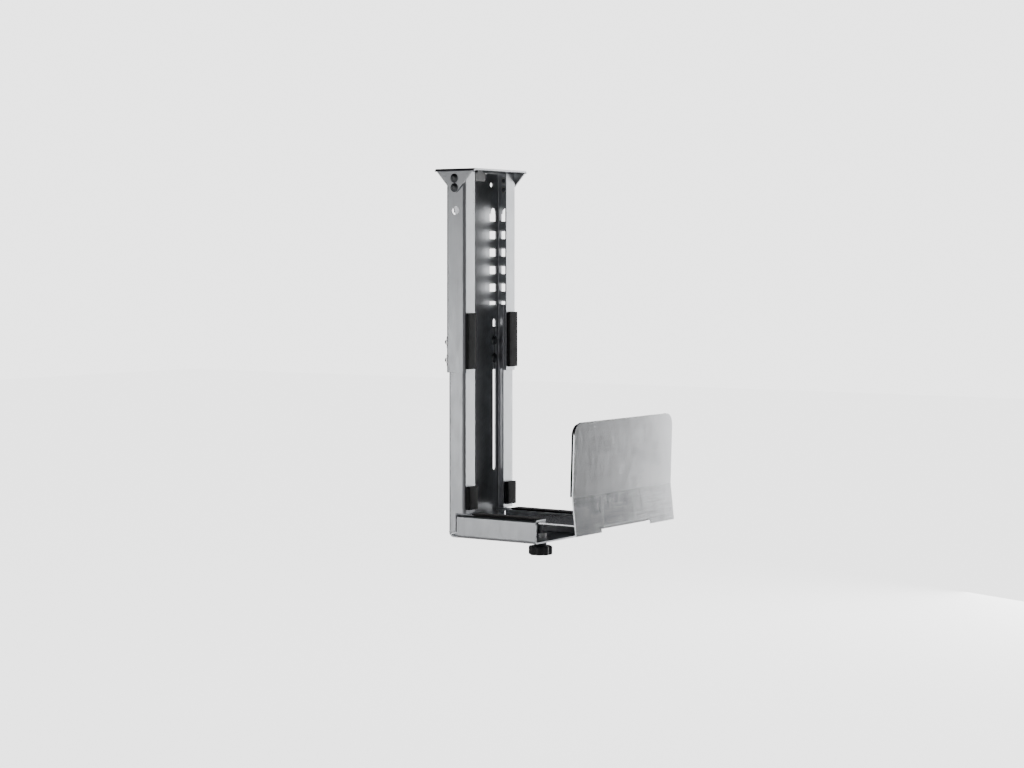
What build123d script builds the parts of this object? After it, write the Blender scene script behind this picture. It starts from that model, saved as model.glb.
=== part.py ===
from build123d import *
import math
import os

# Under-desk computer holder: a telescopic sheet-metal hanger with a clamped side plate.
#
# Frame: the origin is the centre of the desk plate's top face. +X points from the upright towards
# the computer, +Y from the front of the desk to the back, and +Z up. Lengths are in millimetres.

# Space that the computer takes up at rest
CASE_LEFT = 21.0
CASE_RIGHT = 226.0
CASE_BOTTOM = -476.0

# Folded sheet
SHEET = 2.0
BEND = 4.0

# Desk plate
PLATE_SHEET = 2.5
PLATE_LENGTH = 67.0
DESK_HOLE_R = 2.75
DESK_HOLE_X = 25.0
DESK_HOLE_Y = 45.0
FLANGE_TOP_HALF = 30.0
FLANGE_TIP_R = 7.0
FLANGE_SCREW_Z = (-13.5, -26.5)
FLANGE_HEAD = (6.4, 3.4)
FLANGE_SCREW_TAIL = 1.0
HEX_SOCKET_R = 2.0

# Stop tab, at the top of the upper rail's mouth
TAB_Y = -25.0
TAB_FOOT = 15.0
TAB_NECK_HALF = 6.0
TAB_HALF = 12.0
TAB_TOP = -5.0
TAB_NECK_LOW = -7.0
TAB_BOTTOM = -17.0

# Upper rail, a channel open towards the computer
RAIL_DEPTH = 32.0
RAIL_WIDTH = 125.0
RAIL_MOUTH = 77.0
RAIL_TOP = -BEND
RAIL_BOTTOM = -282.5
LIP_CHAMFER = 13.0
LOCATING_HOLE_R = 6.25
LOCATING_HOLE_Y = 50.0
LOCATING_HOLE_Z = -58.5
LIP_HOLE_R = 0.8
LIP_HOLE_INSET = 2.5
LIP_HOLE_TOP_Z = -28.0
LIP_HOLE_PITCH = 15.0
LIP_HOLE_SPACING = 4.5
LIP_HOLE_PAIRS = 3
VENT_HOLE_R = 3.5
VENT_HOLE_Y = 45.0
VENT_HOLE_Z = -19.5
SLOT_LENGTH = 16.0
SLOT_HEIGHT = 10.8
SLOT_PITCH = 25.0
SLOT_TOP_Z = -66.0
SLOT_COUNT = 9
SLOT_COLUMN_Y = 48.5

# Lower rail, which nests in the upper rail and turns under the computer as the base
NEST_GAP = 0.3
LOWER_DEPTH = RAIL_DEPTH - 2 * (SHEET + NEST_GAP)
LOWER_WIDTH = RAIL_WIDTH - 2 * (SHEET + NEST_GAP)
LOWER_MOUTH = 70.0
LOWER_TOP = -190.0
LOWER_LIP_END = CASE_BOTTOM - 1.0
BASE_BOTTOM = -511.0
BASE_HEIGHT = 32.0
BASE_START = 1.0
BASE_END = 132.0
BASE_BEND = 8.0
CORNER_WALL_END = -1.0
TRAVEL_SLOT_WIDTH = 6.6
TRAVEL_SLOT_TOP = -210.0
TRAVEL_SLOT_BOTTOM = -426.0

# Height bolts, in the two lowest rows of slots
BOLT_R = 3.0
BOLT_NECK = 6.0
BOLT_HEAD_R = 7.0
BOLT_HEAD_HEIGHT = 3.6
BOLT_ROWS = (7, 8)
BOLT_Z = [SLOT_TOP_Z - row * SLOT_PITCH for row in BOLT_ROWS]
BOLT_SEAT_GAP = 0.1
BOLT_WASHER = (2.0, 20.0, 16.0)
NUT_ACROSS_FLATS = 10.0
NUT_HEIGHT = 5.0
BOLT_TAIL = 3.0

# Clamp screw under the base
SCREW_X = 100.0
STUD_R = 4.0
STUD_GAP = 0.05
WELD_NUT_R = 9.0
WELD_NUT_HEIGHT = 6.0
FOOT_R = 8.0
FOOT_HEIGHT = 5.0
FOOT_SOCKET = 3.0
KNOB_R = 17.0
KNOB_HEIGHT = 12.5
KNOB_TOP = -520.5
KNOB_LOBES = 8
KNOB_FLOOR = 3.0
SCALLOP_R = 4.0
SCALLOP_OFFSET = 1.6
COLLAR_R = 8.5
COLLAR_HEIGHT = 5.0
KNOB_WASHER = (9.5, 1.5)

# Side plate with the tongue that slides in the base
PLATE_HALF_WIDTH = 125.0
PLATE_TOP = -339.0
PLATE_CREASE = -437.0
PLATE_LOW = -487.0
PLATE_TOP_X = 237.5
PLATE_CREASE_X = 234.5
PLATE_LOW_X = 240.0
PLATE_CORNER_R = 16.0
TONGUE_GAP = 0.4
TONGUE_TOP = BASE_BOTTOM + BASE_HEIGHT - SHEET - TONGUE_GAP
TONGUE_WIDTH = 112.0
TONGUE_END = 80.0
TONGUE_LAP = 10.0
TONGUE_RELIEF = 3.0
NOTCH_WIDTH = 7.0
NOTCH_HEIGHT = 5.0

# Soft pads
SIDE_PAD = 5.0
GLUE_LINE = 0.1
SIDE_PAD_INSET = 2.0
STRIP_WIDTH = 20.0
STRIP_INSET = 2.0
UPPER_STRIP_Z = (-277.5, -200.0)
LOWER_STRIP_Z = (-472.0, -440.0)
BASE_STRIP = 3.0
BASE_STRIP_X = (24.0, 128.0)


def slab(x_range, y_range, z_range):
    """A square-edged block between pairs of coordinates."""
    size = [high - low for low, high in (x_range, y_range, z_range)]
    centre = [(high + low) / 2 for low, high in (x_range, y_range, z_range)]
    return Pos(*centre) * Box(*size)


def mirrored_pair(solid):
    """The solid and its mirror image on the other side of the XZ plane."""
    return [solid, mirror(solid, about=Plane.XZ)]


def rod_x(radius, start, end, y, z):
    """A round rod along X."""
    return Pos((start + end) / 2, y, z) * Rot(0, 90, 0) * Cylinder(radius, abs(end - start))


def rod_y(radius, start, end, x, z):
    """A round rod along Y."""
    return Pos(x, (start + end) / 2, z) * Rot(90, 0, 0) * Cylinder(radius, abs(end - start))


def rod_z(radius, start, end, x, y):
    """A round rod along Z."""
    return Pos(x, y, (start + end) / 2) * Cylinder(radius, abs(end - start))


def channel_section(depth, width, mouth):
    """A lipped channel's section, open towards +X, centred on the origin."""
    outer = RectangleRounded(depth, width, BEND)
    inner = RectangleRounded(depth - 2 * SHEET, width - 2 * SHEET, BEND - SHEET)
    opening = Pos(depth / 2, 0) * Rectangle(4 * SHEET, mouth)
    return outer - inner - opening


def upright_channel(depth, width, mouth, bottom, top):
    """A lipped channel standing along Z."""
    return Pos(0, 0, bottom) * extrude(channel_section(depth, width, mouth), top - bottom)


def flange_outline():
    """The tapered flange, round at its tip, drawn as X and Z."""
    tip = Pos(0, FLANGE_SCREW_Z[1]) * Circle(FLANGE_TIP_R)
    top = Line((-FLANGE_TOP_HALF, -BEND), (FLANGE_TOP_HALF, -BEND))
    return make_hull(top.edges() + tip.edges())


def desk_plate():
    """The top plate with its front and rear ends folded down as tapered flanges."""
    outer_width = RAIL_WIDTH + 2 * PLATE_SHEET
    fold_depth = 60.0
    outer = Pos(0, -fold_depth / 2) * RectangleRounded(outer_width, fold_depth, BEND)
    inner = Pos(0, -PLATE_SHEET - fold_depth / 2)
    inner *= RectangleRounded(RAIL_WIDTH, fold_depth, BEND - PLATE_SHEET)
    folded = extrude(Plane.YZ * (outer - inner), PLATE_LENGTH / 2, both=True)
    flange = extrude(Plane.XZ * flange_outline(), outer_width, both=True)
    span = (-PLATE_LENGTH, PLATE_LENGTH)
    deck = slab(span, (-outer_width, outer_width), (-BEND, 0))
    folded &= deck + flange
    for x in (-DESK_HOLE_X, DESK_HOLE_X):
        for y in (-DESK_HOLE_Y, DESK_HOLE_Y):
            folded -= rod_z(DESK_HOLE_R, -2 * PLATE_SHEET, PLATE_SHEET, x, y)
    for z in FLANGE_SCREW_Z:
        folded -= rod_y(BOLT_R + STUD_GAP, -outer_width, outer_width, 0, z)
    return folded


def stop_tab():
    """The small bent tab at the top of the channel's mouth that stops the lower rail."""
    face = RAIL_DEPTH / 2
    root = -PLATE_SHEET
    sheet_x = (face - SHEET, face)
    across = (TAB_Y - TAB_NECK_HALF, TAB_Y + TAB_NECK_HALF)
    foot = slab((face - TAB_FOOT, face), across, (root - SHEET, root))
    neck = slab(sheet_x, across, (TAB_NECK_LOW, root - SHEET))
    tab = slab(sheet_x, (TAB_Y - TAB_HALF, TAB_Y + TAB_HALF), (TAB_BOTTOM, TAB_TOP))
    return foot + neck + tab


def slot_rows():
    """Heights of the rows of rectangular slots."""
    return [SLOT_TOP_Z - SLOT_PITCH * row for row in range(SLOT_COUNT)]


def upper_rail():
    """The fixed channel with its ladder of slots, locating holes and chamfered lips."""
    web = -RAIL_DEPTH / 2
    wall = RAIL_WIDTH / 2
    through_web = (web - SHEET, web + 2 * SHEET)
    through_rear = (wall - 2 * SHEET, wall + SHEET)
    half_slot = SLOT_LENGTH / 2
    rail = upright_channel(RAIL_DEPTH, RAIL_WIDTH, RAIL_MOUTH, RAIL_BOTTOM, RAIL_TOP)
    for z in slot_rows():
        slot_z = (z - SLOT_HEIGHT / 2, z + SLOT_HEIGHT / 2)
        rail -= slab((-half_slot, half_slot), through_rear, slot_z)
        for y in (-SLOT_COLUMN_Y, SLOT_COLUMN_Y):
            rail -= slab(through_web, (y - half_slot, y + half_slot), slot_z)
    rail -= rod_y(LOCATING_HOLE_R, -RAIL_WIDTH, RAIL_WIDTH, 0, LOCATING_HOLE_Z)
    for side in (-1, 1):
        rail -= rod_x(LOCATING_HOLE_R, *through_web, side * LOCATING_HOLE_Y, LOCATING_HOLE_Z)
        rail -= rod_x(VENT_HOLE_R, *through_web, side * VENT_HOLE_Y, VENT_HOLE_Z)
    for z in FLANGE_SCREW_Z:
        rail -= rod_y(BOLT_R + STUD_GAP, -RAIL_WIDTH, RAIL_WIDTH, 0, z)
    lip_face = RAIL_DEPTH / 2
    through_lip = (lip_face - 2 * SHEET, lip_face + 1)
    lip_hole_y = -RAIL_MOUTH / 2 - LIP_HOLE_INSET
    for pair in range(LIP_HOLE_PAIRS):
        for drop in (0, LIP_HOLE_SPACING):
            z = LIP_HOLE_TOP_Z - pair * LIP_HOLE_PITCH - drop
            rail -= rod_x(LIP_HOLE_R, *through_lip, lip_hole_y, z)
    corner = Polyline((wall + 1, RAIL_TOP + 1), (wall - LIP_CHAMFER, RAIL_TOP + 1),
                      (wall - LIP_CHAMFER, RAIL_TOP), (wall, RAIL_TOP - LIP_CHAMFER),
                      (wall + 1, RAIL_TOP - LIP_CHAMFER), close=True)
    lip_zone = Plane.YZ.offset(RAIL_DEPTH / 2 - BEND)
    for cut in mirrored_pair(extrude(lip_zone * make_face(corner), 2 * BEND)):
        rail -= cut
    return rail


def corner_web():
    """The lower rail's web as it turns under the computer, with the walls kept at the turn."""
    left = -LOWER_DEPTH / 2
    half = LOWER_WIDTH / 2
    bend_top = BASE_BOTTOM + BASE_BEND
    turn = Circle(BASE_BEND) - Circle(BASE_BEND - SHEET)
    turn &= Pos(-BASE_BEND / 2, -BASE_BEND / 2) * Rectangle(BASE_BEND, BASE_BEND)
    centre = Plane.XZ * Pos(left + BASE_BEND, bend_top)
    web = extrude(centre * turn, half - BEND / 2, both=True)
    reach = (left + BASE_BEND, BASE_START)
    web += slab(reach, (-half + BEND / 2, half - BEND / 2), (BASE_BOTTOM, BASE_BOTTOM + SHEET))
    walls = upright_channel(LOWER_DEPTH, LOWER_WIDTH, LOWER_MOUTH, bend_top, LOWER_LIP_END)
    keep = slab((left, CORNER_WALL_END), (-half, half), (bend_top, LOWER_LIP_END))
    return web + (walls & keep)


def lower_rail():
    """The sliding channel and the base channel, bent from one strip."""
    rail = upright_channel(LOWER_DEPTH, LOWER_WIDTH, LOWER_MOUTH, LOWER_LIP_END, LOWER_TOP)
    rail += corner_web()
    section = channel_section(BASE_HEIGHT, LOWER_WIDTH, LOWER_MOUTH)
    base = extrude(section, BASE_END - BASE_START)
    lie_down = Plane(origin=(BASE_START, 0, BASE_BOTTOM + BASE_HEIGHT / 2),
                     x_dir=(0, 0, 1), z_dir=(1, 0, 0))
    rail += lie_down * base
    rail -= rod_z(STUD_R + STUD_GAP, BASE_BOTTOM - SHEET, BASE_BOTTOM + 2 * SHEET, SCREW_X, 0)
    web = -LOWER_DEPTH / 2
    slot_middle = (TRAVEL_SLOT_TOP + TRAVEL_SLOT_BOTTOM) / 2
    slot_length = TRAVEL_SLOT_TOP - TRAVEL_SLOT_BOTTOM
    travel_slot = Pos(SLOT_COLUMN_Y, slot_middle) * Rot(0, 0, 90)
    travel_slot *= SlotOverall(slot_length, TRAVEL_SLOT_WIDTH)
    cut = extrude(Plane.YZ.offset(web - SHEET) * travel_slot, 3 * SHEET)
    for slot in mirrored_pair(cut):
        rail -= slot
    return rail


def hex_prism(across_flats, height, bore_r):
    """A hexagon nut along Z, standing on the XY plane."""
    blank = RegularPolygon(across_flats / 2, 6, major_radius=False)
    return extrude(blank - Circle(bore_r), height)


def button_head(radius, height):
    """A domed screw head, flat side on the XY plane, with its hexagon socket."""
    dome_r = (radius ** 2 + height ** 2) / (2 * height)
    dome = Pos(0, 0, height - dome_r) * Sphere(dome_r)
    dome &= Pos(0, 0, height / 2) * Cylinder(radius, height)
    socket = extrude(RegularPolygon(HEX_SOCKET_R, 6, major_radius=False), height)
    return dome - Pos(0, 0, height / 2) * socket


def flange_screw(z):
    """A button-head screw through the front flange and the rail's front wall."""
    seat = RAIL_WIDTH / 2 + PLATE_SHEET
    shank_length = PLATE_SHEET + SHEET + NUT_HEIGHT + FLANGE_SCREW_TAIL
    head = button_head(*FLANGE_HEAD)
    shank = Pos(0, 0, -shank_length / 2) * Cylinder(BOLT_R, shank_length)
    return Pos(0, -seat, z) * Rot(90, 0, 0) * (head + shank)


def flange_nut(z):
    """The nut inside the rail's front wall."""
    inner_wall = RAIL_WIDTH / 2 - SHEET
    nut = hex_prism(NUT_ACROSS_FLATS, NUT_HEIGHT, BOLT_R + STUD_GAP)
    return Pos(0, -inner_wall + NUT_HEIGHT, z) * Rot(90, 0, 0) * nut


def flange_screws():
    return [solid for z in FLANGE_SCREW_Z for solid in mirrored_pair(flange_screw(z))]


def flange_nuts():
    return [solid for z in FLANGE_SCREW_Z for solid in mirrored_pair(flange_nut(z))]


def height_bolt(z):
    """A carriage bolt whose square neck rides in the lower rail's long slot."""
    seat = -LOWER_DEPTH / 2 + SHEET + BOLT_SEAT_GAP
    outside = -RAIL_DEPTH / 2
    neck_end = outside + SHEET
    tail = outside - BOLT_WASHER[0] - NUT_HEIGHT - BOLT_TAIL
    dome_r = (BOLT_HEAD_R ** 2 + BOLT_HEAD_HEIGHT ** 2) / (2 * BOLT_HEAD_HEIGHT)
    dome = Pos(0, 0, BOLT_HEAD_HEIGHT - dome_r) * Sphere(dome_r)
    dome &= Pos(0, 0, BOLT_HEAD_HEIGHT / 2) * Cylinder(BOLT_HEAD_R, BOLT_HEAD_HEIGHT)
    head = Pos(seat, SLOT_COLUMN_Y, z) * Rot(0, 90, 0) * dome
    half = BOLT_NECK / 2
    neck = slab((neck_end, seat), (SLOT_COLUMN_Y - half, SLOT_COLUMN_Y + half), (z - half, z + half))
    return head + neck + rod_x(BOLT_R, tail, neck_end, SLOT_COLUMN_Y, z)


def height_washer(z):
    """A rectangular washer that bridges the slot on the outside of the web."""
    thickness, width, height = BOLT_WASHER
    outside = -RAIL_DEPTH / 2
    plate = Pos(outside - thickness / 2, SLOT_COLUMN_Y, z) * Box(thickness, width, height)
    return plate - rod_x(BOLT_R + STUD_GAP, outside - 2 * thickness, outside + 1, SLOT_COLUMN_Y, z)


def height_nut(z):
    nut = hex_prism(NUT_ACROSS_FLATS, NUT_HEIGHT, BOLT_R + STUD_GAP)
    face = -RAIL_DEPTH / 2 - BOLT_WASHER[0]
    return Pos(face, SLOT_COLUMN_Y, z) * Rot(0, -90, 0) * nut


def at_bolts(maker):
    """One fastener at each of the four height bolts."""
    return [solid for z in BOLT_Z for solid in mirrored_pair(maker(z))]


def sloped_x(z):
    """X of the side plate's outer face at a height."""
    if z > PLATE_CREASE:
        share = (z - PLATE_CREASE) / (PLATE_TOP - PLATE_CREASE)
        return PLATE_CREASE_X + share * (PLATE_TOP_X - PLATE_CREASE_X)
    share = (PLATE_CREASE - z) / (PLATE_CREASE - PLATE_LOW)
    return PLATE_CREASE_X + share * (PLATE_LOW_X - PLATE_CREASE_X)


def side_plate():
    """The folded side plate: leaning upper part, splayed lower part and inward tongue."""
    middle = SHEET / 2
    tongue_z = TONGUE_TOP - middle
    crease = (PLATE_CREASE_X - middle, PLATE_CREASE)
    face_line = Polyline((PLATE_TOP_X - middle, PLATE_TOP), crease, (PLATE_LOW_X - middle, PLATE_LOW))
    plate = extrude(Plane.XZ * trace(face_line, SHEET), PLATE_HALF_WIDTH, both=True)
    height = PLATE_TOP - PLATE_LOW
    zone_depth = 20.0
    below = PLATE_LOW - NOTCH_HEIGHT
    outline = Pos(0, PLATE_TOP - PLATE_CORNER_R) * RectangleRounded(
        2 * PLATE_HALF_WIDTH, 2 * PLATE_CORNER_R, PLATE_CORNER_R - 0.01)
    outline += Pos(0, PLATE_LOW + (height - PLATE_CORNER_R) / 2) * Rectangle(
        2 * PLATE_HALF_WIDTH, height - PLATE_CORNER_R)
    plate &= extrude(Plane.YZ.offset(CASE_RIGHT) * outline, zone_depth)
    notch_outer = TONGUE_WIDTH / 2 + NOTCH_WIDTH
    around = (CASE_RIGHT, CASE_RIGHT + zone_depth)
    plate -= slab(around, (-notch_outer, notch_outer), (below, PLATE_LOW + NOTCH_HEIGHT))
    relief = (below, TONGUE_TOP + TONGUE_RELIEF)
    plate -= slab(around, (-TONGUE_WIDTH / 2, TONGUE_WIDTH / 2), relief)
    lap_z = PLATE_CREASE - TONGUE_LAP
    start = (sloped_x(lap_z) - middle, lap_z)
    corner = (sloped_x(tongue_z) - middle, tongue_z)
    fold = FilletPolyline(start, corner, (TONGUE_END, tongue_z), radius=BEND)
    tongue = extrude(Plane.XZ * trace(fold, SHEET), TONGUE_WIDTH / 2, both=True)
    return plate + tongue


def side_pad():
    """The foam sheet on the inner face of the side plate's upper part."""
    low = PLATE_CREASE + 1
    high = PLATE_TOP - SIDE_PAD_INSET
    sheet_across = SHEET + GLUE_LINE
    inner_low = sloped_x(low) - sheet_across
    inner_high = sloped_x(high) - sheet_across
    section = Polyline((inner_low, low), (inner_high, high), (inner_high - SIDE_PAD, high),
                       (inner_low - SIDE_PAD, low), close=True)
    pad_half = PLATE_HALF_WIDTH - SIDE_PAD_INSET
    pad = extrude(Plane.XZ * make_face(section), pad_half, both=True)
    rounded = pad.edges().filter_by(Axis.X).group_by(Axis.Z)[-1]
    return fillet(rounded, PLATE_CORNER_R - SIDE_PAD_INSET)


def pressure_foot():
    """The swivel cup on the clamp screw's tip, which presses the tongue up to the base's lips."""
    top = TONGUE_TOP - SHEET
    cup = rod_z(FOOT_R, top - FOOT_HEIGHT, top, SCREW_X, 0)
    return cup - rod_z(STUD_R + STUD_GAP, top - FOOT_HEIGHT - 1, top - FOOT_HEIGHT + FOOT_SOCKET,
                       SCREW_X, 0)


def clamp_stud():
    """The clamp screw, from inside the knob to the swivel cup."""
    tip = TONGUE_TOP - SHEET - FOOT_HEIGHT + FOOT_SOCKET
    return rod_z(STUD_R, KNOB_TOP - KNOB_HEIGHT + KNOB_FLOOR, tip, SCREW_X, 0)


def weld_nut():
    """The round nut welded inside the base over the screw's hole."""
    floor = BASE_BOTTOM + SHEET
    body = rod_z(WELD_NUT_R, floor, floor + WELD_NUT_HEIGHT, SCREW_X, 0)
    return body - rod_z(STUD_R + STUD_GAP, floor - 1, floor + WELD_NUT_HEIGHT + 1, SCREW_X, 0)


def knob():
    """The lobed hand knob with its collar."""
    outline = Circle(KNOB_R)
    reach = KNOB_R + SCALLOP_OFFSET
    for lobe in range(KNOB_LOBES):
        angle = 2 * math.pi * lobe / KNOB_LOBES
        outline -= Pos(reach * math.cos(angle), reach * math.sin(angle)) * Circle(SCALLOP_R)
    grip = Pos(SCREW_X, 0, KNOB_TOP - KNOB_HEIGHT) * extrude(outline, KNOB_HEIGHT)
    grip += rod_z(COLLAR_R, KNOB_TOP, KNOB_TOP + COLLAR_HEIGHT, SCREW_X, 0)
    bore_bottom = KNOB_TOP - KNOB_HEIGHT + KNOB_FLOOR
    return grip - rod_z(STUD_R, bore_bottom, KNOB_TOP + COLLAR_HEIGHT + 1, SCREW_X, 0)


def strip_pair(x_range, half_mouth, z_range):
    """Two foam strips, one on each lip of a channel."""
    inner = half_mouth + STRIP_INSET
    return mirrored_pair(slab(x_range, (inner, inner + STRIP_WIDTH), z_range))


def upper_rail_pads():
    return strip_pair((RAIL_DEPTH / 2, CASE_LEFT), RAIL_MOUTH / 2, UPPER_STRIP_Z)


def lower_rail_pads():
    return strip_pair((LOWER_DEPTH / 2, CASE_LEFT), LOWER_MOUTH / 2, LOWER_STRIP_Z)


def base_pads():
    base_top = BASE_BOTTOM + BASE_HEIGHT
    return strip_pair(BASE_STRIP_X, LOWER_MOUTH / 2, (base_top, base_top + BASE_STRIP))


def knob_washer():
    """The steel washer between the base and the knob's collar."""
    radius, thickness = KNOB_WASHER
    bottom = KNOB_TOP + COLLAR_HEIGHT
    ring = rod_z(radius, bottom, bottom + thickness, SCREW_X, 0)
    return ring - rod_z(STUD_R + STUD_GAP, bottom - 1, bottom + thickness + 1, SCREW_X, 0)


NODES = {
    "desk_plate": desk_plate,
    "stop_tab": stop_tab,
    "upper_rail": upper_rail,
    "flange_screws": flange_screws,
    "flange_nuts": flange_nuts,
    "height_bolts": lambda: at_bolts(height_bolt),
    "height_washers": lambda: at_bolts(height_washer),
    "height_nuts": lambda: at_bolts(height_nut),
    "upper_rail_pads": upper_rail_pads,
    "lower_rail": lower_rail,
    "lower_rail_pads": lower_rail_pads,
    "base_pads": base_pads,
    "weld_nut": weld_nut,
    "side_plate": side_plate,
    "side_pad": side_pad,
    "pressure_foot": pressure_foot,
    "knob": knob,
    "clamp_stud": clamp_stud,
    "knob_washer": knob_washer,
}

os.makedirs("parts", exist_ok=True)
for node, build in NODES.items():
    shape = build()
    solids = shape if isinstance(shape, list) else [shape]
    export_step(Compound(children=[s for one in solids for s in one.solids()]),
                f"parts/{node}.step")
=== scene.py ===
"""Looks of the under-desk computer holder: satin sheet steel, foam pads and a moulded hand knob."""

import math

import bmesh
import bpy
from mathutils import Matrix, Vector, noise


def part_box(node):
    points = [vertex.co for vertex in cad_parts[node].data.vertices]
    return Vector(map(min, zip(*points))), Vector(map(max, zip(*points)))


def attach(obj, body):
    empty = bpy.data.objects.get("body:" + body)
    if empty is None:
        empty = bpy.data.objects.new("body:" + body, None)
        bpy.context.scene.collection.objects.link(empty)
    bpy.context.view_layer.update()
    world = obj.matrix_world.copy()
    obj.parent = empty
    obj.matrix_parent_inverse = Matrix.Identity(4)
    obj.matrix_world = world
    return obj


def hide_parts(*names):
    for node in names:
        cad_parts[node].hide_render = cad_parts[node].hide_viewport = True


# Camera, level, seen from the front right
VIEW_AZIMUTH = math.radians(34.5)
CAMERA_PLACE = (1.811, -2.559, -0.131)
LENS_MM = 78.4
SENSOR_MM = 36.0
SHIFT_Y = -0.118
CLIP_END = 60.0

# Stage. GLOW and BACKDROP_LIGHT are what the camera sees, and SPILL is what lights the part.
FLOOR_DROP = 0.74
FLOOR_SIZE = 14.0
FLOOR_GLOW = 2.9
FLOOR_SPILL = 0.12
BACKDROP_LIGHT = 3.1

# Light of the surroundings, from below, level and above; it changes over this span of height
AMBIENT_BELOW = (0.40, 0.40, 0.40)
AMBIENT_LEVEL = (0.10, 0.102, 0.108)
AMBIENT_ABOVE = (0.01, 0.01, 0.011)
AMBIENT_SPAN = (-0.6, 0.6)

# Soft lamps: one behind that reflects in the side plate and channel, one in front for the faces
# towards the camera, and two weak ones that open the shadows
PART_MIDDLE = (0.1, 0.0, -0.3)
SOFTBOXES = {
    "back_right": {"place": (0.463, 1.185, -0.25), "target": (0.05, 0.1, -0.3),
                   "size": (0.66, 1.5), "power": 14},
    "front_left": {"place": (-1.5, -2.4, -0.85), "target": PART_MIDDLE,
                   "size": (1.3, 1.2), "power": 22},
    "front_right": {"place": (2.6, -0.6, 0.3), "target": PART_MIDDLE,
                    "size": (1.2, 1.2), "power": 1.2},
    "low_fill": {"place": (0.5, -1.2, -0.70), "target": PART_MIDDLE,
                 "size": (1.4, 0.6), "power": 1},
}

# Rounded corners of hard pieces: in the shading of all, and in the mesh of small ones
EDGE_RADIUS = 0.0005
EDGE_SAMPLES = 6
FASTENER_EDGE = 0.0002
FASTENER_EDGE_ANGLE = math.radians(35)

# Colours of the steel and of worn corners, and the sheets' grain
# The rails' and desk plate's tone is darker than the side plate's: painted shade for the channels
SHADED_SHEET_TONE = (0.60, 0.615, 0.63)
PLATE_TONE = (0.66, 0.67, 0.68)
WORN_STEEL = (0.90, 0.90, 0.91, 1.0)
WORN_ZINC = (0.86, 0.86, 0.87, 1.0)
WORN_PAINT = (0.42, 0.42, 0.43, 1.0)
WORN_PLASTIC = (0.075, 0.075, 0.08, 1.0)
GRAIN_ALONG_X = (20, 1400, 1400)
GRAIN_ALONG_Y = (1400, 18, 1400)
GRAIN_ALONG_Z = (1400, 1400, 24)

# Foam
STRIP_WIDTH = 0.020
FOAM_EDGE = 0.0009
FOAM_EDGE_STEPS = 3
FOAM_CROWN = 0.0004
FOAM_RIPPLE = 0.00025
FOAM_RIPPLE_SCALE = 55.0
FOAM_GRID = 0.006
FOAM_MOST_CUTS = 6
SHARP_ANGLE = math.radians(40)
SIDE_FOAM_THICKNESS = 0.005
SIDE_FOAM_CORNER = 0.014
SIDE_FOAM_CORNER_STEPS = 10

# Knob; the dish is given as (radius, rise), and the collar's foot as (flare, rise)
KNOB_LOBES = 8
KNOB_STEPS = 192
KNOB_ROUND = 0.0022
KNOB_ROUND_STEPS = 6
KNOB_DISH = ((0.0035, 0.0016), (0.0075, 0.0016), (0.0088, 0.0012), (0.0096, 0.0004), (0.0106, 0.0))
VALLEY_DEPTH = 0.002835
VALLEY_START = 0.0105
CREST_SHARPNESS = 0.6
COLLAR_RADIUS = 0.0085
COLLAR_HEIGHT = 0.005
COLLAR_FOOT = ((0.0022, 0.0), (0.0007, 0.0004), (0.0, 0.0012))
COLLAR_CHAMFER = 0.0006

# Clamp screw
STUD_RADIUS = 0.004
STUD_STEPS = 64
STUD_PITCH = 0.00125
THREAD_DEPTH = 0.0006
THREAD_ROWS = 8
TIP_LENGTH = 0.001
TIP_TAPER = 0.0006

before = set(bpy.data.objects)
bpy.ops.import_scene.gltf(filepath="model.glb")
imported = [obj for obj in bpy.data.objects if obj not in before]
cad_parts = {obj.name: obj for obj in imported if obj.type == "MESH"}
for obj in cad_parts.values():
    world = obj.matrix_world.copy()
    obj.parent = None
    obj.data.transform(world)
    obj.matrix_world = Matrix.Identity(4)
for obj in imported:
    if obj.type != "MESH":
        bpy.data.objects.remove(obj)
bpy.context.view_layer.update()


# ---------------------------------------------------------------- materials

def new_material(name):
    """An empty material; returns it with its nodes, its shader and a linking function."""
    material = bpy.data.materials.new(name)
    material.use_nodes = True
    nodes = material.node_tree.nodes
    nodes.clear()
    output = nodes.new("ShaderNodeOutputMaterial")
    shader = nodes.new("ShaderNodeBsdfPrincipled")
    link = material.node_tree.links.new
    link(shader.outputs["BSDF"], output.inputs["Surface"])
    return material, nodes, shader, link


def noise_texture(nodes, link, scale, detail, roughness=0.5):
    """Noise in object coordinates, stretched by a scale for each axis."""
    place = nodes.new("ShaderNodeTexCoord")
    stretch = nodes.new("ShaderNodeMapping")
    stretch.inputs["Scale"].default_value = scale
    texture = nodes.new("ShaderNodeTexNoise")
    texture.inputs["Scale"].default_value = 1.0
    texture.inputs["Detail"].default_value = detail
    texture.inputs["Roughness"].default_value = roughness
    link(place.outputs["Object"], stretch.inputs["Vector"])
    link(stretch.outputs["Vector"], texture.inputs["Vector"])
    return texture.outputs["Fac"]


def ramp(nodes, link, value, stops):
    """A colour ramp over value; stops are (position, colour)."""
    node = nodes.new("ShaderNodeValToRGB")
    elements = node.color_ramp.elements
    while len(elements) < len(stops):
        elements.new(0.5)
    for element, (position, colour) in zip(elements, stops):
        element.position = position
        element.color = (*colour, 1.0)
    link(value, node.inputs["Fac"])
    return node.outputs["Color"]


def spread(nodes, link, value, low, high, source=(0.3, 0.7)):
    """Maps value from the source range to low and high."""
    node = nodes.new("ShaderNodeMapRange")
    node.inputs["From Min"].default_value = source[0]
    node.inputs["From Max"].default_value = source[1]
    node.inputs["To Min"].default_value = low
    node.inputs["To Max"].default_value = high
    link(value, node.inputs["Value"])
    return node.outputs["Result"]


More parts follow.
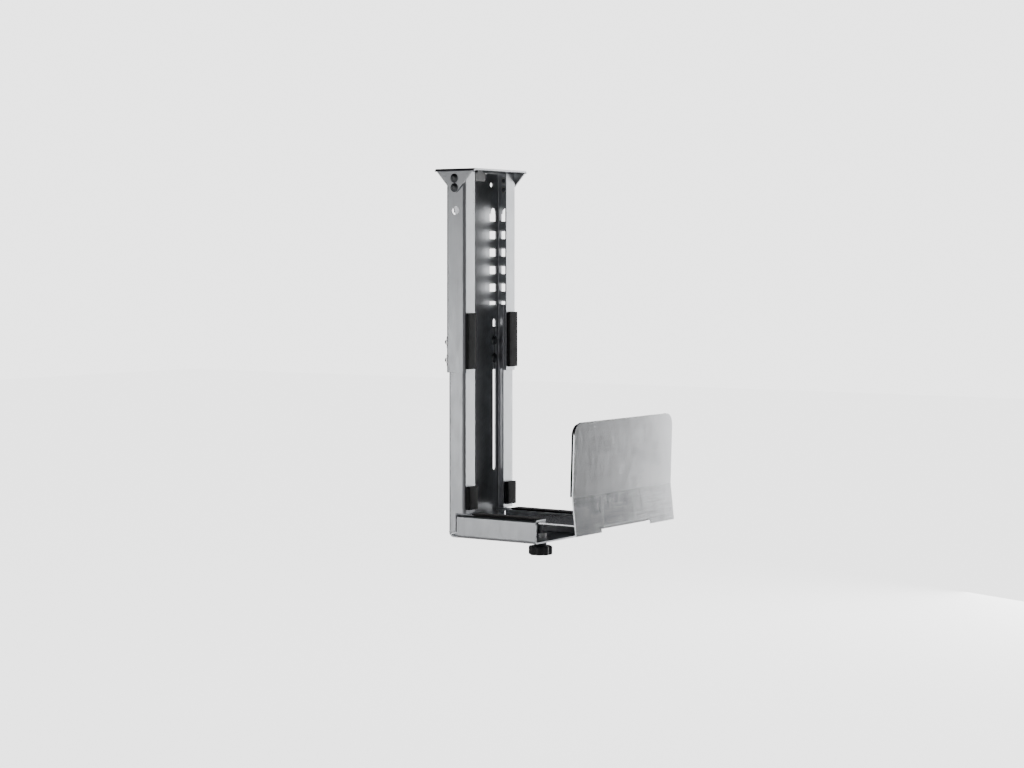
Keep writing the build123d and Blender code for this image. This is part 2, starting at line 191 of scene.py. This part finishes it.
def blend_colours(nodes, link, factor, first, second, mode="MIX"):
    """Mixes two colours; every input may be a value or another node's output."""
    node = nodes.new("ShaderNodeMix")
    node.data_type = "RGBA"
    node.blend_type = mode
    sockets = [s for s in node.inputs if s.type == "RGBA"]
    fraction = node.inputs[0]
    for socket, value in ((fraction, factor), (sockets[0], first), (sockets[1], second)):
        if isinstance(value, bpy.types.NodeSocket):
            link(value, socket)
        else:
            socket.default_value = value
    return [s for s in node.outputs if s.type == "RGBA"][0]


def combine(nodes, link, first, second, operation="ADD"):
    """Arithmetic on an output and a second output or number."""
    node = nodes.new("ShaderNodeMath")
    node.operation = operation
    link(first, node.inputs[0])
    if isinstance(second, bpy.types.NodeSocket):
        link(second, node.inputs[1])
    else:
        node.inputs[1].default_value = second
    return node.outputs[0]


def rounded_normal(nodes):
    """The surface normal with every corner rounded by a small radius."""
    node = nodes.new("ShaderNodeBevel")
    node.samples = EDGE_SAMPLES
    node.inputs["Radius"].default_value = EDGE_RADIUS
    return node.outputs["Normal"]


def bump(nodes, link, shader, height, strength, distance):
    """Fine relief on top of the rounded corners."""
    node = nodes.new("ShaderNodeBump")
    node.inputs["Strength"].default_value = strength
    node.inputs["Distance"].default_value = distance
    link(height, node.inputs["Height"])
    link(rounded_normal(nodes), node.inputs["Normal"])
    link(node.outputs["Normal"], shader.inputs["Normal"])


def edge_mask(nodes, link):
    """White along corners, where a finish wears first, and black on open faces."""
    geometry = nodes.new("ShaderNodeNewGeometry")
    agreement = nodes.new("ShaderNodeVectorMath")
    agreement.operation = "DOT_PRODUCT"
    link(geometry.outputs["Normal"], agreement.inputs[0])
    link(rounded_normal(nodes), agreement.inputs[1])
    return spread(nodes, link, agreement.outputs["Value"], low=0.8, high=0.0, source=(0.80, 0.99))


def satin_sheet(name, base, grain, rough):
    """Silver sheet steel: fine grain along one axis, soft blotches, marks and bright edges."""
    material, nodes, shader, link = new_material(name)
    stroke = noise_texture(nodes, link, grain, detail=3.0, roughness=0.65)
    blotch = noise_texture(nodes, link, scale=(22, 22, 14), detail=5.0, roughness=0.6)
    marks = noise_texture(nodes, link, scale=(160, 130, 45), detail=6.0, roughness=0.7)
    dark = tuple(0.88 * c for c in base)
    light = tuple(min(1.0, 1.07 * c) for c in base)
    tone = ramp(nodes, link, blotch, ((0.30, dark), (0.52, base), (0.74, light)))
    lines = ramp(nodes, link, stroke, ((0.30, (0.90, 0.90, 0.91)), (0.70, (1.0, 1.0, 1.0))))
    tone = blend_colours(nodes, link, 1.0, tone, lines, "MULTIPLY")
    tone = blend_colours(nodes, link, edge_mask(nodes, link), tone, WORN_STEEL)
    link(tone, shader.inputs["Base Color"])
    coarse = spread(nodes, link, stroke, low=rough - 0.03, high=rough + 0.03)
    worn = spread(nodes, link, marks, low=-0.02, high=0.04, source=(0.35, 0.68))
    link(combine(nodes, link, coarse, worn), shader.inputs["Roughness"])
    shader.inputs["Metallic"].default_value = 1.0
    height = combine(nodes, link, stroke, combine(nodes, link, marks, 0.4, "MULTIPLY"))
    bump(nodes, link, shader, height, strength=0.05, distance=0.0001)
    return material


def zinc(name, base, rough):
    """Plated fastener: mottled plating, bright on the corners."""
    material, nodes, shader, link = new_material(name)
    mottle = noise_texture(nodes, link, scale=(420, 420, 420), detail=4.0, roughness=0.6)
    cloud = noise_texture(nodes, link, scale=(90, 90, 90), detail=3.0)
    dark = tuple(0.72 * c for c in base)
    tone = ramp(nodes, link, mottle, ((0.32, dark), (0.66, base)))
    tone = blend_colours(nodes, link, edge_mask(nodes, link), tone, WORN_ZINC)
    link(tone, shader.inputs["Base Color"])
    link(spread(nodes, link, cloud, low=rough - 0.07, high=rough + 0.09),
         shader.inputs["Roughness"])
    shader.inputs["Metallic"].default_value = 1.0
    bump(nodes, link, shader, mottle, strength=0.12, distance=0.00012)
    return material


def grey_paint(name):
    """Matt grey paint with a fine orange-peel surface."""
    material, nodes, shader, link = new_material(name)
    peel = noise_texture(nodes, link, scale=(900, 900, 900), detail=2.0)
    dust = noise_texture(nodes, link, scale=(120, 120, 120), detail=5.0)
    tone = ramp(nodes, link, dust, ((0.3, (0.20, 0.205, 0.21)), (0.7, (0.27, 0.275, 0.28))))
    tone = blend_colours(nodes, link, edge_mask(nodes, link), tone, WORN_PAINT)
    link(tone, shader.inputs["Base Color"])
    link(spread(nodes, link, dust, low=0.45, high=0.62), shader.inputs["Roughness"])
    bump(nodes, link, shader, peel, strength=0.18, distance=0.0001)
    return material


def moulded_plastic(name):
    """Black moulded plastic with a spark-eroded grain and rubbed corners."""
    material, nodes, shader, link = new_material(name)
    grain = noise_texture(nodes, link, scale=(1500, 1500, 1500), detail=3.0, roughness=0.6)
    wear = noise_texture(nodes, link, scale=(140, 140, 140), detail=4.0, roughness=0.6)
    tone = ramp(nodes, link, wear, ((0.3, (0.014, 0.014, 0.016)), (0.7, (0.032, 0.032, 0.035))))
    tone = blend_colours(nodes, link, edge_mask(nodes, link), tone, WORN_PLASTIC)
    link(tone, shader.inputs["Base Color"])
    link(spread(nodes, link, wear, low=0.36, high=0.56), shader.inputs["Roughness"])
    bump(nodes, link, shader, grain, strength=0.35, distance=0.00015)
    return material


def foam(name):
    """Closed-cell foam: small open pits with painted shade in them, over a matt black skin."""
    material, nodes, shader, link = new_material(name)
    place = nodes.new("ShaderNodeTexCoord")
    cells = nodes.new("ShaderNodeTexVoronoi")
    cells.inputs["Scale"].default_value = 1300.0
    link(place.outputs["Object"], cells.inputs["Vector"])
    dust = noise_texture(nodes, link, scale=(70, 70, 70), detail=5.0, roughness=0.65)
    fine = noise_texture(nodes, link, scale=(2500, 2500, 2500), detail=2.0)
    tone = ramp(nodes, link, dust, ((0.3, (0.012, 0.012, 0.013)), (0.72, (0.035, 0.035, 0.037))))
    # Painted shade: the colour darkens towards each cell's middle, the bottom of its pit
    pit_shade = ramp(nodes, link, cells.outputs["Distance"],
                ((0.0, (0.55, 0.55, 0.55)), (0.45, (1.0, 1.0, 1.0))))
    tone = blend_colours(nodes, link, 1.0, tone, pit_shade, "MULTIPLY")
    link(tone, shader.inputs["Base Color"])
    link(spread(nodes, link, fine, low=0.78, high=0.95), shader.inputs["Roughness"])
    height = combine(nodes, link, cells.outputs["Distance"],
                     combine(nodes, link, fine, 0.5, "MULTIPLY"))
    bump(nodes, link, shader, height, strength=0.5, distance=0.0002)
    shader.inputs["Sheen Weight"].default_value = 0.15
    return material


def dress(obj, material):
    """Puts one material on every face."""
    obj.data.materials.clear()
    obj.data.materials.append(material)
    for polygon in obj.data.polygons:
        polygon.material_index = 0


# ---------------------------------------------------------------- geometry

def mesh_object(name, mesh_data):
    """Turns a bmesh into an object in the scene with smooth faces."""
    mesh = bpy.data.meshes.new(name)
    bmesh.ops.recalc_face_normals(mesh_data, faces=mesh_data.faces)
    mesh_data.to_mesh(mesh)
    mesh_data.free()
    for polygon in mesh.polygons:
        polygon.use_smooth = True
    obj = bpy.data.objects.new(name, mesh)
    bpy.context.scene.collection.objects.link(obj)
    return obj


def cut_long_edges(solid):
    """Halves the long edges a few times, so that the faces can be shaped."""
    for _ in range(FOAM_MOST_CUTS):
        long_edges = [e for e in solid.edges if e.calc_length() > FOAM_GRID]
        if not long_edges:
            return
        bmesh.ops.subdivide_edges(solid, edges=long_edges, cuts=1, use_grid_fill=True)


def foam_block(solid, low, high, thick_axis, corner=0.0):
    """Adds one soft-edged foam block to a bmesh; its thick faces are crowned and uneven."""
    block = bmesh.new()
    bmesh.ops.create_cube(block, size=1.0)
    size = high - low
    for vertex in block.verts:
        vertex.co = Vector([low[i] + size[i] * (vertex.co[i] + 0.5) for i in range(3)])
    if corner:
        top = [e for e in block.edges
               if all(v.co.z > high.z - FOAM_EDGE for v in e.verts)
               and abs(e.verts[0].co.x - e.verts[1].co.x) > size.x / 2]
        bmesh.ops.bevel(block, geom=top, offset=corner, segments=SIDE_FOAM_CORNER_STEPS,
                        profile=0.5, affect="EDGES")
    sharp = [e for e in block.edges if e.calc_face_angle(0.0) > SHARP_ANGLE]
    bmesh.ops.bevel(block, geom=sharp, offset=FOAM_EDGE, segments=FOAM_EDGE_STEPS,
                    profile=0.5, affect="EDGES")
    bmesh.ops.triangulate(block, faces=[f for f in block.faces if len(f.verts) > 4])
    cut_long_edges(block)
    centre = (low + high) / 2
    first, second = (i for i in range(3) if i != thick_axis)
    for vertex in block.verts:
        away = [(vertex.co[i] - centre[i]) / (size[i] / 2) for i in range(3)]
        swell = (1 - away[first] ** 2) * (1 - away[second] ** 2)
        ripple = noise.noise(vertex.co * FOAM_RIPPLE_SCALE) * 0.5 + 0.5
        sink = FOAM_CROWN * (1 - max(swell, 0.0)) + FOAM_RIPPLE * ripple
        vertex.co[thick_axis] -= sink * away[thick_axis]
    piece = bpy.data.meshes.new("block")
    block.to_mesh(piece)
    block.free()
    solid.from_mesh(piece)
    bpy.data.meshes.remove(piece)


def foam_pair(name, node, thick_axis):
    """Two foam strips, one at each end of the node's box across Y."""
    low, high = (Vector(corner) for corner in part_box(node))
    solid = bmesh.new()
    foam_block(solid, low, Vector((high.x, low.y + STRIP_WIDTH, high.z)), thick_axis)
    foam_block(solid, Vector((low.x, high.y - STRIP_WIDTH, low.z)), high, thick_axis)
    return mesh_object(name, solid)


def side_foam(name):
    """The large foam sheet, leaning as the side plate leans."""
    low, high = (Vector(corner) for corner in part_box("side_pad"))
    lean = (high.x - low.x) - SIDE_FOAM_THICKNESS
    solid = bmesh.new()
    foam_block(solid, low, Vector((low.x + SIDE_FOAM_THICKNESS, high.y, high.z)), 0,
               SIDE_FOAM_CORNER)
    for vertex in solid.verts:
        vertex.co.x += lean * (vertex.co.z - low.z) / (high.z - low.z)
    return mesh_object(name, solid)


def turned(name, centre, profile, steps, true_radius):
    """A turned solid about Z through centre; true_radius(angle, radius, z) shapes each ring."""
    solid = bmesh.new()
    rings = []
    for radius, z in profile:
        ring = []
        for step in range(steps):
            angle = 2 * math.pi * step / steps
            r = true_radius(angle, radius, z)
            ring.append(solid.verts.new((centre.x + r * math.cos(angle),
                                         centre.y + r * math.sin(angle), z)))
        rings.append(ring)
    for low, high in zip(rings, rings[1:]):
        for step in range(steps):
            after = (step + 1) % steps
            solid.faces.new((low[step], low[after], high[after], high[step]))
    solid.faces.new(rings[0][::-1])
    solid.faces.new(rings[-1])
    return mesh_object(name, solid)


def knob_grip(name):
    """The lobed knob: dished underneath, rounded over its lobes, with a flared collar above."""
    low, high = (Vector(corner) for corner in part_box("knob"))
    outer = (high.x - low.x) / 2
    body_top = high.z - COLLAR_HEIGHT
    rim = outer - KNOB_ROUND
    turns = [math.pi / 2 * step / KNOB_ROUND_STEPS for step in range(KNOB_ROUND_STEPS + 1)]
    profile = [(radius, low.z + rise) for radius, rise in KNOB_DISH]
    for turn in turns:
        radius = rim + KNOB_ROUND * math.sin(turn)
        profile.append((radius, low.z + KNOB_ROUND - KNOB_ROUND * math.cos(turn)))
    profile.append((outer, (low.z + body_top) / 2))
    for turn in turns:
        radius = rim + KNOB_ROUND * math.cos(turn)
        profile.append((radius, body_top - KNOB_ROUND + KNOB_ROUND * math.sin(turn)))
    profile += [(COLLAR_RADIUS + flare, body_top + rise) for flare, rise in COLLAR_FOOT]
    profile += [(COLLAR_RADIUS, high.z - COLLAR_CHAMFER), (COLLAR_RADIUS - COLLAR_CHAMFER, high.z)]

    def lobed(angle, radius, z):
        share = max(0.0, min(1.0, (radius - VALLEY_START) / (outer - VALLEY_START)))
        crest = (0.5 - 0.5 * math.cos(KNOB_LOBES * angle)) ** CREST_SHARPNESS
        return radius - VALLEY_DEPTH * share * (1 - crest)

    return turned(name, (low + high) / 2, profile, KNOB_STEPS, lobed)


def threaded_stud(name):
    """The clamp screw with its rolled thread and chamfered tip."""
    low, high = (Vector(corner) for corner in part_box("clamp_stud"))
    length = high.z - low.z
    rows = int(length / STUD_PITCH * THREAD_ROWS)
    profile = [(STUD_RADIUS, low.z + length * row / rows) for row in range(rows + 1)]

    def thread(angle, radius, z):
        phase = ((z - low.z) / STUD_PITCH - angle / (2 * math.pi)) % 1.0
        tip = min(1.0, (high.z - z) / TIP_LENGTH)
        return radius - THREAD_DEPTH * abs(2 * phase - 1) - TIP_TAPER * (1 - tip)

    return turned(name, (low + high) / 2, profile, STUD_STEPS, thread)


def soften_edges(obj):
    """A small rolled edge on a CAD fastener, so that its outline catches the light."""
    bevel = obj.modifiers.new("edge", "BEVEL")
    bevel.width = FASTENER_EDGE
    bevel.segments = 2
    bevel.limit_method = "ANGLE"
    bevel.angle_limit = FASTENER_EDGE_ANGLE
    bevel.harden_normals = True
    bevel.use_clamp_overlap = True


# ---------------------------------------------------------------- pieces

# Rails and desk plate take the steel tone darkened with painted shade
rail_steel = satin_sheet("rail_steel", SHADED_SHEET_TONE, GRAIN_ALONG_Z, rough=0.40)
plate_steel = satin_sheet("plate_steel", PLATE_TONE, GRAIN_ALONG_Y, rough=0.22)
deck_steel = satin_sheet("deck_steel", SHADED_SHEET_TONE, GRAIN_ALONG_X, rough=0.30)
screw_zinc = zinc("screw_zinc", base=(0.27, 0.28, 0.29), rough=0.38)
nut_zinc = zinc("nut_zinc", base=(0.62, 0.62, 0.60), rough=0.30)
washer_zinc = zinc("washer_zinc", base=(0.66, 0.66, 0.65), rough=0.27)
tab_paint = grey_paint("tab_paint")
knob_plastic = moulded_plastic("knob_plastic")
foot_plastic = moulded_plastic("foot_plastic")
pad_foam = foam("pad_foam")

FINISHES = {
    "desk_plate": deck_steel,
    "upper_rail": rail_steel,
    "lower_rail": rail_steel,
    "side_plate": plate_steel,
    "stop_tab": tab_paint,
    "flange_screws": screw_zinc,
    "flange_nuts": nut_zinc,
    "height_bolts": screw_zinc,
    "height_washers": washer_zinc,
    "height_nuts": nut_zinc,
    "weld_nut": washer_zinc,
    "knob_washer": washer_zinc,
    "clamp_stud": screw_zinc,
    "pressure_foot": foot_plastic,
    "knob": knob_plastic,
    "upper_rail_pads": pad_foam,
    "lower_rail_pads": pad_foam,
    "base_pads": pad_foam,
    "side_pad": pad_foam,
}
for node, finish in FINISHES.items():
    dress(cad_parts[node], finish)

soft_pieces = (
    (foam_pair("upper_rail_foam", "upper_rail_pads", 0), "upper_rail_pads", "hanger"),
    (foam_pair("lower_rail_foam", "lower_rail_pads", 0), "lower_rail_pads", "lower_rail"),
    (foam_pair("base_foam", "base_pads", 2), "base_pads", "lower_rail"),
    (side_foam("side_foam"), "side_pad", "side_plate"),
)
for piece, node, body in soft_pieces:
    dress(piece, pad_foam)
    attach(piece, body)
    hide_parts(node)

grip = knob_grip("knob_grip")
dress(grip, knob_plastic)
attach(grip, "knob")
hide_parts("knob")

stud = threaded_stud("threaded_stud")
dress(stud, screw_zinc)
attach(stud, "knob")
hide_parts("clamp_stud")

for node in ("flange_screws", "flange_nuts", "height_bolts", "height_washers", "height_nuts",
             "weld_nut", "knob_washer", "stop_tab"):
    soften_edges(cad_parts[node])


# ---------------------------------------------------------------- stage, light, camera

def studio_floor():
    """A pale floor with a faint mottle, at a desk's height below the desk plate."""
    material, nodes, shader, link = new_material("studio_floor")
    mottle = noise_texture(nodes, link, scale=(3, 3, 3), detail=4.0)
    tone = ramp(nodes, link, mottle, ((0.3, (0.86, 0.86, 0.86)), (0.7, (0.90, 0.90, 0.90))))
    link(tone, shader.inputs["Base Color"])
    shader.inputs["Roughness"].default_value = 0.8
    shader.inputs["Emission Color"].default_value = (1.0, 1.0, 1.0, 1.0)
    path = nodes.new("ShaderNodeLightPath")
    glow = spread(nodes, link, path.outputs["Is Camera Ray"], low=FLOOR_SPILL, high=FLOOR_GLOW,
                  source=(0.0, 1.0))
    link(glow, shader.inputs["Emission Strength"])
    solid = bmesh.new()
    bmesh.ops.create_grid(solid, x_segments=1, y_segments=1, size=FLOOR_SIZE / 2)
    floor = mesh_object("studio_floor", solid)
    floor.location.z = -FLOOR_DROP
    dress(floor, material)


def softbox(name, place, target, size, power):
    """A soft rectangular light that the camera doesn't see."""
    data = bpy.data.lights.new(name, "AREA")
    data.shape = "RECTANGLE"
    data.size, data.size_y = size
    data.energy = power
    light = bpy.data.objects.new(name, data)
    light.location = place
    light.rotation_euler = (Vector(target) - Vector(place)).to_track_quat("-Z", "Y").to_euler()
    light.visible_camera = False
    bpy.context.scene.collection.objects.link(light)


def studio_world():
    """White behind the object; as a light it is darker towards the top, where a desk would be."""
    world = bpy.data.worlds.new("studio")
    world.use_nodes = True
    nodes = world.node_tree.nodes
    link = world.node_tree.links.new
    nodes.clear()
    output = nodes.new("ShaderNodeOutputWorld")
    seen = nodes.new("ShaderNodeBackground")
    seen.inputs["Color"].default_value = (1.0, 1.0, 1.0, 1.0)
    seen.inputs["Strength"].default_value = BACKDROP_LIGHT
    ambient = nodes.new("ShaderNodeBackground")
    place = nodes.new("ShaderNodeTexCoord")
    split = nodes.new("ShaderNodeSeparateXYZ")
    link(place.outputs["Generated"], split.inputs["Vector"])
    height = spread(nodes, link, split.outputs["Z"], low=0.0, high=1.0, source=AMBIENT_SPAN)
    tone = ramp(nodes, link, height,
                ((0.0, AMBIENT_BELOW), (0.5, AMBIENT_LEVEL), (1.0, AMBIENT_ABOVE)))
    link(tone, ambient.inputs["Color"])
    path = nodes.new("ShaderNodeLightPath")
    choose = nodes.new("ShaderNodeMixShader")
    link(path.outputs["Is Camera Ray"], choose.inputs["Fac"])
    link(ambient.outputs["Background"], choose.inputs[1])
    link(seen.outputs["Background"], choose.inputs[2])
    link(choose.outputs["Shader"], output.inputs["Surface"])
    bpy.context.scene.world = world


def photograph_camera():
    """A level camera whose frame is shifted down, as its horizon is near the desk."""
    data = bpy.data.cameras.new("camera")
    data.lens = LENS_MM
    data.sensor_width = SENSOR_MM
    data.shift_y = SHIFT_Y
    data.clip_end = CLIP_END
    camera = bpy.data.objects.new("camera", data)
    camera.location = CAMERA_PLACE
    camera.rotation_euler = (math.pi / 2, 0.0, VIEW_AZIMUTH)
    bpy.context.scene.collection.objects.link(camera)
    bpy.context.scene.camera = camera


studio_floor()
studio_world()
for name, lamp in SOFTBOXES.items():
    softbox(name, **lamp)
photograph_camera()
